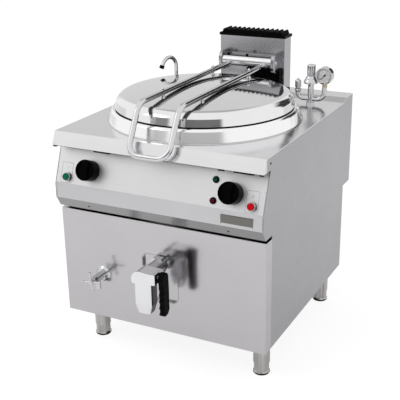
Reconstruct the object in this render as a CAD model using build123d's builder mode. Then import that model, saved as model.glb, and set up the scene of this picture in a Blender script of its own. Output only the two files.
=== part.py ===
from build123d import *
import math
import os

os.makedirs("parts", exist_ok=True)

# Gas heated boiling kettle with a steam jacket, on a cabinet of the 900 mm deep range.
# Millimetres. The origin is on the vessel's axis at floor level, -Y is the operator's side.

# ---- driving dimensions ----
width = 800.0            # cabinet, side to side
rear = 505.0             # rearmost plane
rear_recess = 429.0      # lower rear wall, set in for the pipes
recess_top = 500.0       # height of the step between both rear walls
worktop_z = 850.0
ledge_z = 862.0          # raised ledge along the rear
ledge_start, ledge_full = 390.0, 426.0
flange_z = 800.5         # lower edge of the worktop's rear flange
lip_top_y, lip_low_y, lip_low_z = -374.0, -395.0, 804.0
panel_y = -367.0         # face of the lower front panel
panel_low, panel_high = 150.0, 561.0
panel_return = 48.0      # how far the front panel wraps round the sides
sheet = 2.5
side_x = width / 2 - sheet       # inner face of the side panels

fascia_tilt = 21.0       # control fascia leans back by this angle
knee_y, knee_z = -392.0, 668.0   # where the sloping fascia turns upright
band_low_y, band_low_z = -395.0, 611.0
chin_y, chin_z = -373.0, 573.0

vessel_r = 300.0         # inside of the cooking vessel
vessel_wall = 2.8
vessel_floor = 392.0
vessel_corner = 62.0      # outer radius between floor and wall
brim_z = 896.5
jacket_r = 336.0
jacket_floor, jacket_top = 300.0, 835.0
rim_r, rim_top_r = 353.0, 340.0

lid_r, lid_low_z = 326.0, 901.0
lid_top_z = 962.0
shoulder_r, shoulder_z = 285.0, 948.0
skirt_r, skirt_z = 320.0, 926.0
lid_sheet = 2.0

hinge_y, hinge_z = 390.0, 979.5
barrel_r, barrel_half = 22.0, 105.5
shaft_r = 8.0
running = 0.05           # radial clearance of shafts in their bores
tube_r, tube_x, tube_z = 10.0, 76.0, 972.0
tube_wall = 1.5
stud_ys = (-173.0, 224.0)

chimney_half, chimney_front, chimney_back, chimney_top = 138.0, 427.0, 497.0, 1071.0

leg_x, leg_front_y, leg_rear_y = 336.0, -244.0, 384.0
leg_r, leg_low = 30.0, 45.0

valve_x, valve_y, valve_z = 5.0, -476.0, 420.0
valve_front, valve_back = -505.0, -447.0
drain_z = 415.0
tap_x, tap_z = -237.0, 328.0
group_x, group_y = 289.0, 325.0      # safety group on the worktop
spout_x, spout_y = -260.0, 267.0     # water tap on the worktop

knob_xs = (-261.0, 284.0)
knob_s = 55.0            # distances along the slope, up from the knee
button_xs = (-352.0, 356.0)
button_s = 22.0
lamp_x, lamp_s = 218.0, (22.0, 91.0)
knob_r, knob_depth = 37.0, 42.0

gas_x, inlet_xs, inlet_z = 330.0, (-260.0, -310.0), 230.0    # connections through the rear
inlet_end = 470.0


def on_fascia(x, along, lift=0.0):
    """Plane on the sloping fascia, its normal pointing at the operator."""
    tilt = math.radians(fascia_tilt)
    normal = Vector(0, -math.cos(tilt), math.sin(tilt))
    up = Vector(0, math.sin(tilt), math.cos(tilt))
    spot = Vector(x, knee_y, knee_z) + up * along + normal * lift
    return Plane(origin=spot, x_dir=(1, 0, 0), z_dir=normal)


def facing_front(x, y, z):
    """Plane whose normal points at the operator, with local x to the right and y up."""
    return Plane(origin=(x, y, z), x_dir=(1, 0, 0), z_dir=(0, -1, 0))


def save(piece, name):
    piece.part.label = name
    export_step(piece.part, f"parts/{name}.step")


def slope_y(z):
    """Depth of the sloping fascia at a height."""
    return knee_y + (z - knee_z) * math.tan(math.radians(fascia_tilt))


# ---- cabinet ----
tray_top = panel_low + 28
with BuildPart() as base_tray:
    with BuildSketch(Plane.XY.offset(panel_low)):
        with Locations((0, (rear_recess - sheet + panel_y + panel_return + 1) / 2)):
            Rectangle(2 * side_x, rear_recess - sheet - panel_y - panel_return - 1)
    extrude(amount=tray_top - panel_low)
    offset(amount=-3, openings=base_tray.faces().sort_by(Axis.Z)[-1])
    with BuildSketch(Plane.XY.offset(panel_low)):
        Circle(250)
    extrude(amount=3, mode=Mode.SUBTRACT)
save(base_tray, "base_tray")

side_outline = (
    (lip_top_y + 2.6, worktop_z - sheet), (lip_top_y + 2.6, lip_low_z),
    (slope_y(lip_low_z), lip_low_z), (knee_y, knee_z), (band_low_y, band_low_z),
    (chin_y, chin_z), (panel_y + panel_return, chin_z), (panel_y + panel_return, panel_low),
    (rear_recess, panel_low), (rear_recess, recess_top), (rear, recess_top),
    (rear, flange_z), (rear - sheet, flange_z), (rear - sheet, ledge_z - sheet - 0.5),
    (ledge_full + 1, ledge_z - sheet - 0.5), (ledge_start + 1, worktop_z - sheet))
for name, near in (("side_panel_left", -width / 2), ("side_panel_right", side_x)):
    with BuildPart() as side_panel:
        with BuildSketch(Plane.YZ.offset(near)):
            with BuildLine():
                Polyline(*side_outline, close=True)
            make_face()
        extrude(amount=sheet)
    save(side_panel, name)

with BuildPart() as rear_panel:
    with BuildSketch(Plane.YZ.offset(-side_x)):
        with BuildLine():
            Polyline((rear, flange_z - 0.5), (rear, recess_top),
                     (rear_recess, recess_top), (rear_recess, panel_low))
            offset(amount=sheet, side=Side.RIGHT)
        make_face()
    extrude(amount=2 * side_x)
    with BuildSketch(facing_front(0, rear_recess + 1, 0)):
        with Locations((gas_x, inlet_z)):
            Circle(11.3)
        with Locations(*[(inlet_x, inlet_z) for inlet_x in inlet_xs]):
            Circle(9.3)
    extrude(amount=sheet + 2, mode=Mode.SUBTRACT)
    with BuildSketch(facing_front(0, rear + 1, 0)):
        with Locations((0, 560)):
            with GridLocations(44, 18, 10, 4):
                SlotOverall(30, 6)
    extrude(amount=sheet + 2, mode=Mode.SUBTRACT)
save(rear_panel, "rear_panel")

plate_half, plate_low, plate_high, plate_corner, plate_depth = 70.0, 269.0, 443.0, 22.0, 12.0
plate_mid = (plate_low + plate_high) / 2
with BuildPart() as front_panel:
    with BuildSketch(facing_front(0, panel_y + panel_return, (panel_low + panel_high) / 2)):
        Rectangle(width, panel_high - panel_low)
    extrude(amount=panel_return)
    fillet(front_panel.faces().sort_by(Axis.Y)[0].edges(), 2.2)
    offset(amount=-sheet + 0.5, openings=front_panel.faces().sort_by(Axis.Y)[-1])
    with BuildSketch(facing_front(0, panel_y + 4, plate_mid)):
        RectangleRounded(2 * plate_half, plate_high - plate_low, plate_corner)
        with Locations((tap_x, tap_z - plate_mid)):
            Circle(11)
    extrude(amount=5, mode=Mode.SUBTRACT)
    with BuildSketch(Plane.XY.offset(panel_high - 10)):
        Circle(jacket_r + 5)
    extrude(amount=12, mode=Mode.SUBTRACT)
save(front_panel, "front_panel")

with BuildPart() as drain_plate:
    with BuildSketch(facing_front(0, panel_y + plate_depth, plate_mid)):
        RectangleRounded(2 * plate_half, plate_high - plate_low, plate_corner)
    extrude(amount=plate_depth - 0.2)
    offset(amount=-1.5, openings=drain_plate.faces().sort_by(Axis.Y)[0])
    with BuildSketch(facing_front(valve_x, panel_y + plate_depth, drain_z)):
        Circle(25)
    extrude(amount=3, mode=Mode.SUBTRACT)
save(drain_plate, "drain_plate")

with BuildPart() as control_fascia:
    with BuildSketch(Plane.YZ.offset(-side_x)):
        with BuildLine():
            Polyline((slope_y(lip_low_z - 1), lip_low_z - 1), (knee_y, knee_z), (band_low_y, band_low_z),
                     (chin_y, chin_z), (-jacket_r - 5, chin_z))
            offset(amount=2, side=Side.LEFT)
        make_face()
    extrude(amount=2 * side_x)
    for knob_x in knob_xs:
        with BuildSketch(on_fascia(knob_x, knob_s, -4)):
            Circle(6)
        extrude(amount=6, mode=Mode.SUBTRACT)
    for button_x in button_xs:
        with BuildSketch(on_fascia(button_x, button_s, -4)):
            Circle(11)
        extrude(amount=6, mode=Mode.SUBTRACT)
    for along in lamp_s:
        with BuildSketch(on_fascia(lamp_x, along, -4)):
            Circle(8)
        extrude(amount=6, mode=Mode.SUBTRACT)
save(control_fascia, "control_fascia")

with BuildPart() as worktop:
    with BuildSketch(Plane.YZ.offset(-width / 2)):
        with BuildLine():
            Polyline((lip_low_y + 16, lip_low_z), (lip_low_y, lip_low_z), (lip_top_y, worktop_z),
                     (ledge_start, worktop_z), (ledge_full, ledge_z), (rear, ledge_z),
                     (rear, flange_z))
            offset(amount=sheet, side=Side.RIGHT)
        make_face()
    extrude(amount=width)
    for near in (-width / 2, side_x):
        with BuildSketch(Plane.YZ.offset(near)):
            with BuildLine():
                Polyline((lip_low_y, lip_low_z), (lip_top_y, worktop_z),
                         (lip_top_y + 2.5, worktop_z), (lip_top_y + 2.5, lip_low_z), close=True)
            make_face()
        extrude(amount=sheet)
    with BuildSketch(Plane.XY.offset(worktop_z - 20)):
        Circle(jacket_r + 6)
        with Locations((group_x, group_y)):
            Circle(12)
        with Locations((spout_x, spout_y)):
            Circle(12)
    extrude(amount=30, mode=Mode.SUBTRACT)
    with BuildSketch(Plane.XY.offset(worktop_z - 10)):
        with Locations((0, (chimney_front + chimney_back) / 2)):
            Rectangle(236, 60)
    extrude(amount=30, mode=Mode.SUBTRACT)
save(worktop, "worktop")

# ---- vessel, jacket and heating ----
with BuildPart() as vessel_outside:
    with BuildSketch(Plane.XZ):
        with BuildLine():
            outside = vessel_r + vessel_wall
            FilletPolyline((0, vessel_floor - vessel_wall), (outside, vessel_floor - vessel_wall),
                           (outside, brim_z), radius=vessel_corner)
            Polyline((outside, brim_z), (0, brim_z), (0, vessel_floor - vessel_wall))
        make_face()
    revolve(axis=Axis.Z)

# a straight wall welded to a floor with a wide corner
with BuildPart() as inner_vessel:
    with BuildSketch(Plane.XY.offset(vessel_floor + vessel_corner)):
        Circle(outside)
        Circle(vessel_r, mode=Mode.SUBTRACT)
    extrude(amount=brim_z - vessel_floor - vessel_corner)
save(inner_vessel, "inner_vessel")

with BuildPart() as vessel_dish:
    add(vessel_outside.part)
    offset(amount=-vessel_wall, openings=vessel_dish.faces().sort_by(Axis.Z)[-1])
    with BuildSketch(Plane.XY.offset(vessel_floor + vessel_corner)):
        Circle(outside + 5)
    extrude(amount=brim_z, mode=Mode.SUBTRACT)
    with BuildSketch(facing_front(valve_x, -240, drain_z)):
        Circle(21)
    extrude(amount=80, mode=Mode.SUBTRACT)
save(vessel_dish, "vessel_floor")

with BuildPart() as rim_ring:
    with BuildSketch(Plane.XZ):
        with BuildLine():
            Polyline((outside, brim_z - 3), (outside, brim_z), (rim_top_r - 7, brim_z),
                     (rim_top_r, brim_z - 7), (rim_r, worktop_z), (rim_r - 3.5, worktop_z),
                     (rim_top_r - 3.5, brim_z - 9), (rim_top_r - 9, brim_z - 3), close=True)
        make_face()
    revolve(axis=Axis.Z)
    fillet(rim_ring.edges().filter_by(GeomType.CIRCLE).filter_by(
        lambda edge: edge.radius in (rim_top_r - 7, rim_top_r) and edge.center().Z > brim_z - 8), 5)
save(rim_ring, "rim_ring")

jacket_corners = ((0, jacket_floor), (jacket_r, jacket_floor), (jacket_r, jacket_top), (outside, jacket_top))
with BuildPart() as jacket_outside:
    with BuildSketch(Plane.XZ):
        with BuildLine():
            FilletPolyline(*jacket_corners, radius=(70, 12))
            Polyline((outside, jacket_top), (0, jacket_top), (0, jacket_floor))
        make_face()
    revolve(axis=Axis.Z)

with BuildPart() as steam_jacket:
    with BuildSketch(Plane.XZ):
        with BuildLine():
            FilletPolyline(*jacket_corners, radius=(70, 12))
            offset(amount=3, side=Side.LEFT)
        make_face()
    revolve(axis=Axis.Z)
    with BuildSketch(facing_front(valve_x, -300, drain_z)):
        Circle(25)
    extrude(amount=60, mode=Mode.SUBTRACT)
save(steam_jacket, "steam_jacket")

duct_half, chamber_low = 110.0, 190.0
with BuildPart() as combustion_chamber:
    with BuildSketch(Plane.XY.offset(chamber_low)):
        Circle(jacket_r + 3)
        Circle(jacket_r, mode=Mode.SUBTRACT)
    extrude(amount=195)
    with BuildSketch(facing_front(0, jacket_r + 20, 250)):
        Rectangle(2 * duct_half, 70)
    extrude(amount=60, mode=Mode.SUBTRACT)
    with BuildSketch(facing_front(tap_x, -200, tap_z)):
        Circle(10)
    extrude(amount=80, mode=Mode.SUBTRACT)
    with BuildSketch(Plane.XY.offset(chamber_low)):
        Rectangle(2 * jacket_r + 4, 40)
        Circle(jacket_r + 1, mode=Mode.INTERSECT)
    extrude(amount=4)
    for near in (-jacket_r - 3, jacket_r):
        with BuildSketch(Plane.YZ.offset(near)):
            with Locations((0, (chamber_low + tray_top) / 2)):
                Rectangle(60, chamber_low - tray_top)
        extrude(amount=3)
save(combustion_chamber, "combustion_chamber")

with BuildPart() as burner:
    with BuildSketch(Plane.XZ):
        with Locations((190, 212)):
            Circle(15)
    revolve(axis=Axis.Z)
    with BuildSketch(Plane.XY.offset(194)):
        with Locations((190, 0), (-190, 0)):
            Rectangle(30, 24)
    extrude(amount=14)
    with BuildSketch(Plane.XZ.offset(190)):
        with Locations((0, 212)):
            Circle(11)
    extrude(amount=118)
save(burner, "burner")

with BuildPart() as flue_duct:
    with BuildSketch(Plane.YZ.offset(-duct_half)):
        with BuildLine():
            Polyline((jacket_r + 3, 215), (420, 215), (420, 580), (492, 650), (492, ledge_z),
                     (436, ledge_z), (436, 678), (364, 608), (364, 285), (jacket_r + 3, 285), close=True)
        make_face()
    extrude(amount=2 * duct_half)
    offset(amount=-1.5, openings=[flue_duct.faces().sort_by(Axis.Z)[-1],
                                  flue_duct.faces().sort_by(Axis.Y)[0]])
save(flue_duct, "flue_duct")

with BuildPart() as chimney:
    with BuildSketch(Plane.XY.offset(ledge_z)):
        with Locations((0, (chimney_front + chimney_back) / 2)):
            Rectangle(2 * chimney_half, chimney_back - chimney_front)
            Rectangle(2 * chimney_half - 4, chimney_back - chimney_front - 4, mode=Mode.SUBTRACT)
    extrude(amount=chimney_top - ledge_z)
save(chimney, "chimney")

ridge_count, ridge_pitch, grate_half = 13, 20.5, 142.0
grate_front, grate_back = chimney_front - 3, chimney_back + 3
with BuildPart() as flue_grate:
    with BuildSketch(Plane.XY.offset(chimney_top)):
        with Locations((0, (grate_front + grate_back) / 2)):
            Rectangle(2 * grate_half, grate_back - grate_front)
            Rectangle(2 * grate_half - 16, grate_back - grate_front - 20, mode=Mode.SUBTRACT)
    extrude(amount=10)
    for ridge in range(ridge_count):
        ridge_x = (ridge - (ridge_count - 1) / 2) * ridge_pitch
        with BuildSketch(Plane.XZ.offset(-grate_back + 2)):
            with BuildLine():
                Polyline((ridge_x - 6.5, chimney_top + 3), (ridge_x + 6.5, chimney_top + 3),
                         (ridge_x + 6.5, chimney_top + 12), (ridge_x + 2, chimney_top + 25),
                         (ridge_x - 2, chimney_top + 25), (ridge_x - 6.5, chimney_top + 12), close=True)
            make_face()
        extrude(amount=grate_back - grate_front - 4)
save(flue_grate, "flue_grate")

# ---- lid and its hinge ----
with BuildPart() as hinge_cheeks:
    for near in (-barrel_half - 12.5, barrel_half + 0.5):
        with BuildSketch(Plane.YZ.offset(near)):
            with Locations((hinge_y, hinge_z - 2)):
                SlotOverall(74, 50, rotation=90)
            with Locations(((hinge_y + chimney_front) / 2, hinge_z - 2)):
                Rectangle(chimney_front - hinge_y, 74)
            with Locations((hinge_y, hinge_z)):
                Circle(shaft_r, mode=Mode.SUBTRACT)
        extrude(amount=12)
save(hinge_cheeks, "hinge_cheeks")

with BuildPart() as hinge_box:
    with BuildSketch(Plane.XY.offset(868)):
        with Locations((57, (404 + chimney_front) / 2)):
            Rectangle(142, chimney_front - 404)
    extrude(amount=82)
    fillet(hinge_box.edges().filter_by(Axis.Z), 2)
    add(hinge_cheeks.part, mode=Mode.SUBTRACT)
save(hinge_box, "hinge_box")

with BuildPart() as hinge_shaft:
    with BuildSketch(Plane.YZ.offset(-barrel_half - 16)):
        with Locations((hinge_y, hinge_z)):
            Circle(shaft_r)
    extrude(amount=2 * barrel_half + 32)
    chamfer(hinge_shaft.edges().filter_by(GeomType.CIRCLE), 1.5)
save(hinge_shaft, "hinge_shaft")

with BuildPart() as hinge_barrel:
    with BuildSketch(Plane.YZ.offset(-barrel_half)):
        with Locations((hinge_y, hinge_z)):
            Circle(barrel_r)
            Circle(shaft_r + running, mode=Mode.SUBTRACT)
    extrude(amount=2 * barrel_half)
    chamfer(hinge_barrel.edges().filter_by(GeomType.CIRCLE).group_by(SortBy.RADIUS)[-1], 1)
    with BuildSketch(Plane.XY.offset(hinge_z + barrel_r - 2)):
        with Locations((-5, hinge_y), (-86, hinge_y)):
            Circle(5)
    extrude(amount=9)
    chamfer(hinge_barrel.faces().sort_by(Axis.Z)[-2:].edges(), 1)
save(hinge_barrel, "hinge_barrel")

with BuildPart() as lid_outside:
    with BuildSketch(Plane.XZ):
        with BuildLine():
            dome_r = (shoulder_r ** 2 + (lid_top_z - shoulder_z) ** 2) / (2 * (lid_top_z - shoulder_z))
            dome = RadiusArc((0, lid_top_z), (shoulder_r, shoulder_z), dome_r)
            shoulder = TangentArc((shoulder_r, shoulder_z), (skirt_r, skirt_z), tangent=dome % 1)
            Polyline((skirt_r, skirt_z), (lid_r, lid_low_z), (0, lid_low_z), (0, lid_top_z))
        make_face()
    revolve(axis=Axis.Z)

with BuildPart() as lid_shell:
    add(lid_outside.part)
    offset(amount=-lid_sheet, openings=lid_shell.faces().sort_by(Axis.Z)[0])
save(lid_shell, "lid_shell")

loop_y, loop_z, bend_y = -424.0, 817.0, -336.0
with BuildPart() as lid_frame:
    with BuildLine() as frame_path:
        FilletPolyline((-tube_x, hinge_y - 6, tube_z), (-tube_x, bend_y, tube_z), (-tube_x, loop_y, loop_z),
                       (tube_x, loop_y, loop_z), (tube_x, bend_y, tube_z), (tube_x, hinge_y - 6, tube_z),
                       radius=(60, 44, 44, 60))
    with BuildSketch(Plane(origin=(-tube_x, hinge_y - 6, tube_z), x_dir=(1, 0, 0), z_dir=(0, -1, 0))):
        Circle(tube_r)
        Circle(tube_r - tube_wall, mode=Mode.SUBTRACT)
    sweep(path=frame_path.line)
    with BuildSketch(Plane.YZ.offset(-barrel_half)):
        with Locations((hinge_y, hinge_z)):
            Circle(barrel_r)
    extrude(amount=2 * barrel_half, mode=Mode.SUBTRACT)
save(lid_frame, "lid_frame")

with BuildPart() as lid_bolts:
    for stud_y in stud_ys:
        spots = Locations((-tube_x, stud_y), (tube_x, stud_y))
        with BuildSketch(Plane.XY.offset(lid_top_z - 16)):
            with spots:
                Circle(5)
        extrude(amount=20)
        with BuildSketch(Plane.XY.offset(lid_top_z - 16)):
            with spots:
                Circle(9)
        extrude(amount=16 - (3 if stud_y < 0 else 6))
        with BuildSketch(Plane.XY.offset(tube_z + 6)):
            with spots:
                RegularPolygon(6.5, 6)
        extrude(amount=7.5)
        with BuildSketch(Plane.XY.offset(tube_z + 13.5)):
            with spots:
                Circle(4.6)
        extrude(amount=4, taper=30)
    with BuildSketch(Plane.XZ.offset(-rear)):
        with Locations((-tube_x, tube_z), (tube_x, tube_z)):
            Circle(tube_r)
    extrude(amount=2 * rear, mode=Mode.SUBTRACT)
    add(lid_outside.part, mode=Mode.SUBTRACT)
save(lid_bolts, "lid_bolts")

# ---- drain cock on the front ----
with BuildPart() as drain_pipe:
    with BuildSketch(facing_front(valve_x, -250, drain_z)):
        Circle(25)
        Circle(21, mode=Mode.SUBTRACT)
    extrude(amount=-250 - valve_back)
    add(vessel_outside.part, mode=Mode.SUBTRACT)
save(drain_pipe, "drain_pipe")

with BuildPart() as drain_nut:
    with BuildSketch(facing_front(valve_x, panel_y - 6, drain_z)):
        RegularPolygon(34, 6)
        Circle(25, mode=Mode.SUBTRACT)
    extrude(amount=22)
save(drain_nut, "drain_nut")

head_left, head_right, head_low = -33.0, 58.0, 399.0
spout_left, spout_right, spout_low, outlet_low = -25.0, 41.0, 318.0, 285.0
with BuildPart() as drain_body:
    with BuildSketch(facing_front(0, valve_back, 0)):
        with BuildLine():
            Line((head_left, head_low), (head_left, 414))
            top_arc = ThreePointArc((head_left, 414), (-22, 434), (2, 441))
            TangentArc((2, 441), (head_right, 439), tangent=top_arc % 1)
            Polyline((head_right, 439), (head_right, head_low + 3), (spout_right, head_low),
                     (spout_left, head_low - 5), (head_left, head_low))
        make_face()
    extrude(amount=valve_back - valve_front)
    with BuildSketch(Plane.XY.offset(head_low + 2)):
        with Locations(((spout_left + spout_right) / 2, valve_y - 3)):
            RectangleRounded(spout_right - spout_left, 50, 10)
    extrude(amount=-(head_low + 2 - spout_low))
    with BuildSketch(Plane.XY.offset(spout_low)):
        with Locations(((spout_left + spout_right) / 2, valve_y - 3)):
            RectangleRounded(spout_right - spout_left, 50, 10)
    with BuildSketch(Plane.XY.offset(outlet_low)):
        with Locations(((spout_left + spout_right) / 2, valve_y - 3)):
            RectangleRounded(48, 42, 10)
    loft()
    with BuildSketch(Plane.XY.offset(outlet_low)):
        with Locations(((spout_left + spout_right) / 2, valve_y - 3)):
            Circle(17)
    extrude(amount=90, mode=Mode.SUBTRACT)
    with BuildSketch(Plane.YZ.offset(20)):
        with Locations((valve_y, valve_z)):
            Circle(9 + running)
    extrude(amount=40, mode=Mode.SUBTRACT)
save(drain_body, "drain_body")

with BuildPart() as drain_spindle:
    with BuildSketch(Plane.YZ.offset(22)):
        with Locations((valve_y, valve_z)):
            Circle(9)
    extrude(amount=42)
save(drain_spindle, "drain_spindle")

grip_low, grip_x = 281.0, 64.0
with BuildPart() as drain_handle:
    with BuildSketch(Plane.YZ.offset(grip_x)):
        with Locations((valve_y, valve_z)):
            Circle(21)
        with BuildLine():
            Polyline((valve_y - 20, valve_z), (valve_y - 15, 396), (valve_y - 18, grip_low + 6),
                     (valve_y - 6, grip_low), (valve_y + 10, grip_low + 2), (valve_y + 22, grip_low + 16),
                     (valve_y + 22, 380), (valve_y + 20, valve_z), close=True)
        make_face()
        for groove in range(4):
            with Locations((valve_y - 24, 372 - 24 * groove)):
                Circle(12, mode=Mode.SUBTRACT)
        offset(amount=-3, mode=Mode.REPLACE)
        offset(amount=3, mode=Mode.REPLACE)
    extrude(amount=20)
    chamfer(drain_handle.faces().filter_by(Axis.X).edges(), 1.5)
save(drain_handle, "drain_handle")

# ---- level tap ----
with BuildPart() as level_tap:
    with BuildSketch(facing_front(tap_x, -200, tap_z)):
        Circle(10)
        Circle(6, mode=Mode.SUBTRACT)
    extrude(amount=-200 - panel_y)
    add(jacket_outside.part, mode=Mode.SUBTRACT)
    with BuildSketch(facing_front(tap_x, panel_y, tap_z)):
        Circle(29)
    extrude(amount=7, taper=45)
    with BuildSketch(facing_front(tap_x, panel_y - 7, tap_z)):
        Circle(14)
    extrude(amount=48)
    with BuildSketch(facing_front(tap_x, panel_y - 55, tap_z)):
        RegularPolygon(13, 6)
    extrude(amount=10)
    with BuildSketch(facing_front(tap_x, panel_y - 65, tap_z)):
        Circle(8)
    extrude(amount=9)
    with BuildSketch(Plane.XY.offset(tap_z)):
        with Locations((tap_x, panel_y - 36)):
            Circle(9)
    extrude(amount=-44)
    with BuildSketch(Plane.XY.offset(tap_z - 44)):
        with Locations((tap_x, panel_y - 36)):
            Circle(5.5)
    extrude(amount=30, mode=Mode.SUBTRACT)
    with BuildSketch(facing_front(tap_x, panel_y - 60, tap_z)):
        Circle(4 + running)
    extrude(amount=20, mode=Mode.SUBTRACT)
save(level_tap, "level_tap")

cross_y = panel_y - 80.0
with BuildPart() as tap_cross:
    with BuildSketch(facing_front(tap_x, panel_y - 61, tap_z)):
        Circle(4)
    extrude(amount=16)
    with BuildSketch(facing_front(tap_x, cross_y + 5.5, tap_z)):
        Circle(9)
    extrude(amount=13.5)
    fillet(tap_cross.faces().sort_by(Axis.Y)[0].edges(), 4)
    for turn in range(4):
        arm = Plane(origin=(tap_x, cross_y, tap_z), x_dir=(0, 1, 0),
                    z_dir=(math.cos(math.radians(90 * turn + 8)), 0, math.sin(math.radians(90 * turn + 8))))
        with BuildSketch(arm.offset(6)):
            Circle(3)
        extrude(amount=28)
        with BuildSketch(arm.offset(32)):
            Circle(4.5)
        extrude(amount=6)
save(tap_cross, "tap_cross")

# ---- safety group and water tap on the worktop ----
branch_z, left_branch, right_branch, steam_z = 871.5, 237.5, 343.0, 780.0
vacuum_z, gauge_nut_z, relief_z = 895.0, 920.0, 929.0    # where the three branches end
inward = Vector(-group_x, -group_y, 0).normalized()
with BuildPart() as branches:
    with BuildLine() as branch_path:
        FilletPolyline((left_branch, group_y, vacuum_z), (left_branch, group_y, branch_z),
                       (right_branch, group_y, branch_z), (right_branch, group_y, gauge_nut_z),
                       radius=(22, 30))
    with BuildSketch(Plane(origin=(left_branch, group_y, vacuum_z), x_dir=(1, 0, 0), z_dir=(0, 0, -1))):
        Circle(9.5)
    sweep(path=branch_path.line)

with BuildPart() as group_manifold:
    with BuildSketch(Plane.XY.offset(steam_z)):
        with Locations((group_x, group_y)):
            Circle(11.5)
    extrude(amount=relief_z - steam_z)
    with BuildSketch(Plane(origin=(group_x, group_y, steam_z + 16), x_dir=(0, 0, 1), z_dir=inward)):
        Circle(8)
    extrude(amount=105)
    with BuildSketch(Plane.XY.offset(steam_z)):
        Circle(jacket_r)
    extrude(amount=40, mode=Mode.SUBTRACT)
    with BuildSketch(Plane.XY.offset(worktop_z)):
        with Locations((group_x, group_y)):
            RegularPolygon(18, 6)
    extrude(amount=9)
    add(branches.part)
save(group_manifold, "group_manifold")

group_plane = facing_front(group_x, group_y, 0)
with BuildPart() as safety_valve:
    with BuildSketch(group_plane):
        with BuildLine():
            Polyline((0, relief_z), (14, relief_z), (28, 932), (28, 937), (24, 945), (17, 957), (14, 960),
                     (14, 962), (16, 964), (16, 998), (13, 1002), (0, 1002), close=True)
        make_face()
    revolve(axis=Axis((group_x, group_y, 0), (0, 0, 1)))
    with BuildSketch(Plane.XY.offset(966)):
        with Locations((group_x, group_y)):
            with PolarLocations(16, 12):
                Circle(2)
    extrude(amount=24, mode=Mode.SUBTRACT)
save(safety_valve, "safety_valve")

with BuildPart() as vacuum_valve:
    with BuildSketch(facing_front(left_branch, group_y, 0)):
        with BuildLine():
            Polyline((0, vacuum_z), (10, vacuum_z), (12, 899), (12, 906), (9, 908), (9, 910), (12, 912),
                     (12, 936), (9, 940), (3, 941), (3, 946), (0, 947), close=True)
        make_face()
    revolve(axis=Axis((left_branch, group_y, 0), (0, 0, 1)))
    with BuildSketch(Plane.XY.offset(914)):
        with Locations((left_branch, group_y)):
            with PolarLocations(12.5, 8):
                Circle(2)
    extrude(amount=19, mode=Mode.SUBTRACT)
save(vacuum_valve, "vacuum_valve")

gauge_r, gauge_z, gauge_face, gauge_back = 33.0, 964.7, group_y - 15, group_y + 15
with BuildPart() as gauge_nut:
    with BuildSketch(Plane.XY.offset(gauge_nut_z)):
        with Locations((right_branch, group_y)):
            RegularPolygon(10.5, 6)
    extrude(amount=14)
    with BuildSketch(facing_front(right_branch, gauge_back, gauge_z)):
        Circle(gauge_r)
    extrude(amount=gauge_back - gauge_face, mode=Mode.SUBTRACT)
save(gauge_nut, "gauge_nut")

with BuildPart() as gauge_case:
    with BuildSketch(facing_front(right_branch, gauge_back, gauge_z)):
        Circle(gauge_r)
    extrude(amount=gauge_back - gauge_face)
    fillet(gauge_case.faces().sort_by(Axis.Y)[-1].edges(), 5)
    fillet(gauge_case.faces().sort_by(Axis.Y)[0].edges(), 2)
    with BuildSketch(facing_front(right_branch, gauge_face + 12, gauge_z)):
        Circle(gauge_r - 5)
    extrude(amount=20, mode=Mode.SUBTRACT)
save(gauge_case, "gauge_case")

with BuildPart() as gauge_dial:
    with BuildSketch(facing_front(right_branch, gauge_face + 12, gauge_z)):
        Circle(gauge_r - 5)
        Circle(2 + running, mode=Mode.SUBTRACT)
    extrude(amount=1.5)
save(gauge_dial, "gauge_dial")

with BuildPart() as gauge_glass:
    with BuildSketch(facing_front(right_branch, gauge_face + 4, gauge_z)):
        Circle(gauge_r - 5)
    extrude(amount=2)
save(gauge_glass, "gauge_glass")

needle_turn = math.radians(225)
with BuildPart() as gauge_needle:
    with BuildSketch(facing_front(right_branch, gauge_face + 11.5, gauge_z)):
        Circle(2)
    extrude(amount=4)
    with BuildSketch(facing_front(right_branch, gauge_face + 9.2, gauge_z)):
        Circle(4)
        with BuildLine():
            tip = Vector(math.cos(needle_turn), math.sin(needle_turn)) * 23
            tail = Vector(math.cos(needle_turn), math.sin(needle_turn)) * -8
            flank = Vector(-math.sin(needle_turn), math.cos(needle_turn))
            Polyline(tip + flank * 0.7, tail + flank * 1.8, tail - flank * 1.8, tip - flank * 0.7,
                     close=True)
        make_face()
    extrude(amount=1.2)
save(gauge_needle, "gauge_needle")

with BuildPart() as spout_pillar:
    with BuildSketch(facing_front(spout_x, spout_y, 0)):
        with BuildLine():
            Polyline((0, worktop_z - 15), (11, worktop_z - 15), (11, worktop_z), (18.5, worktop_z),
                     (18.5, worktop_z + 4), (13, worktop_z + 9), (12, 886), (15, 888), (15, 900),
                     (0, 900), close=True)
        make_face()
    revolve(axis=Axis((spout_x, spout_y, 0), (0, 0, 1)))
    with BuildSketch(Plane.XY.offset(901)):
        with Locations((spout_x, spout_y)):
            Circle(6 + running)
    extrude(amount=-22, mode=Mode.SUBTRACT)
save(spout_pillar, "spout_pillar")

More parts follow.
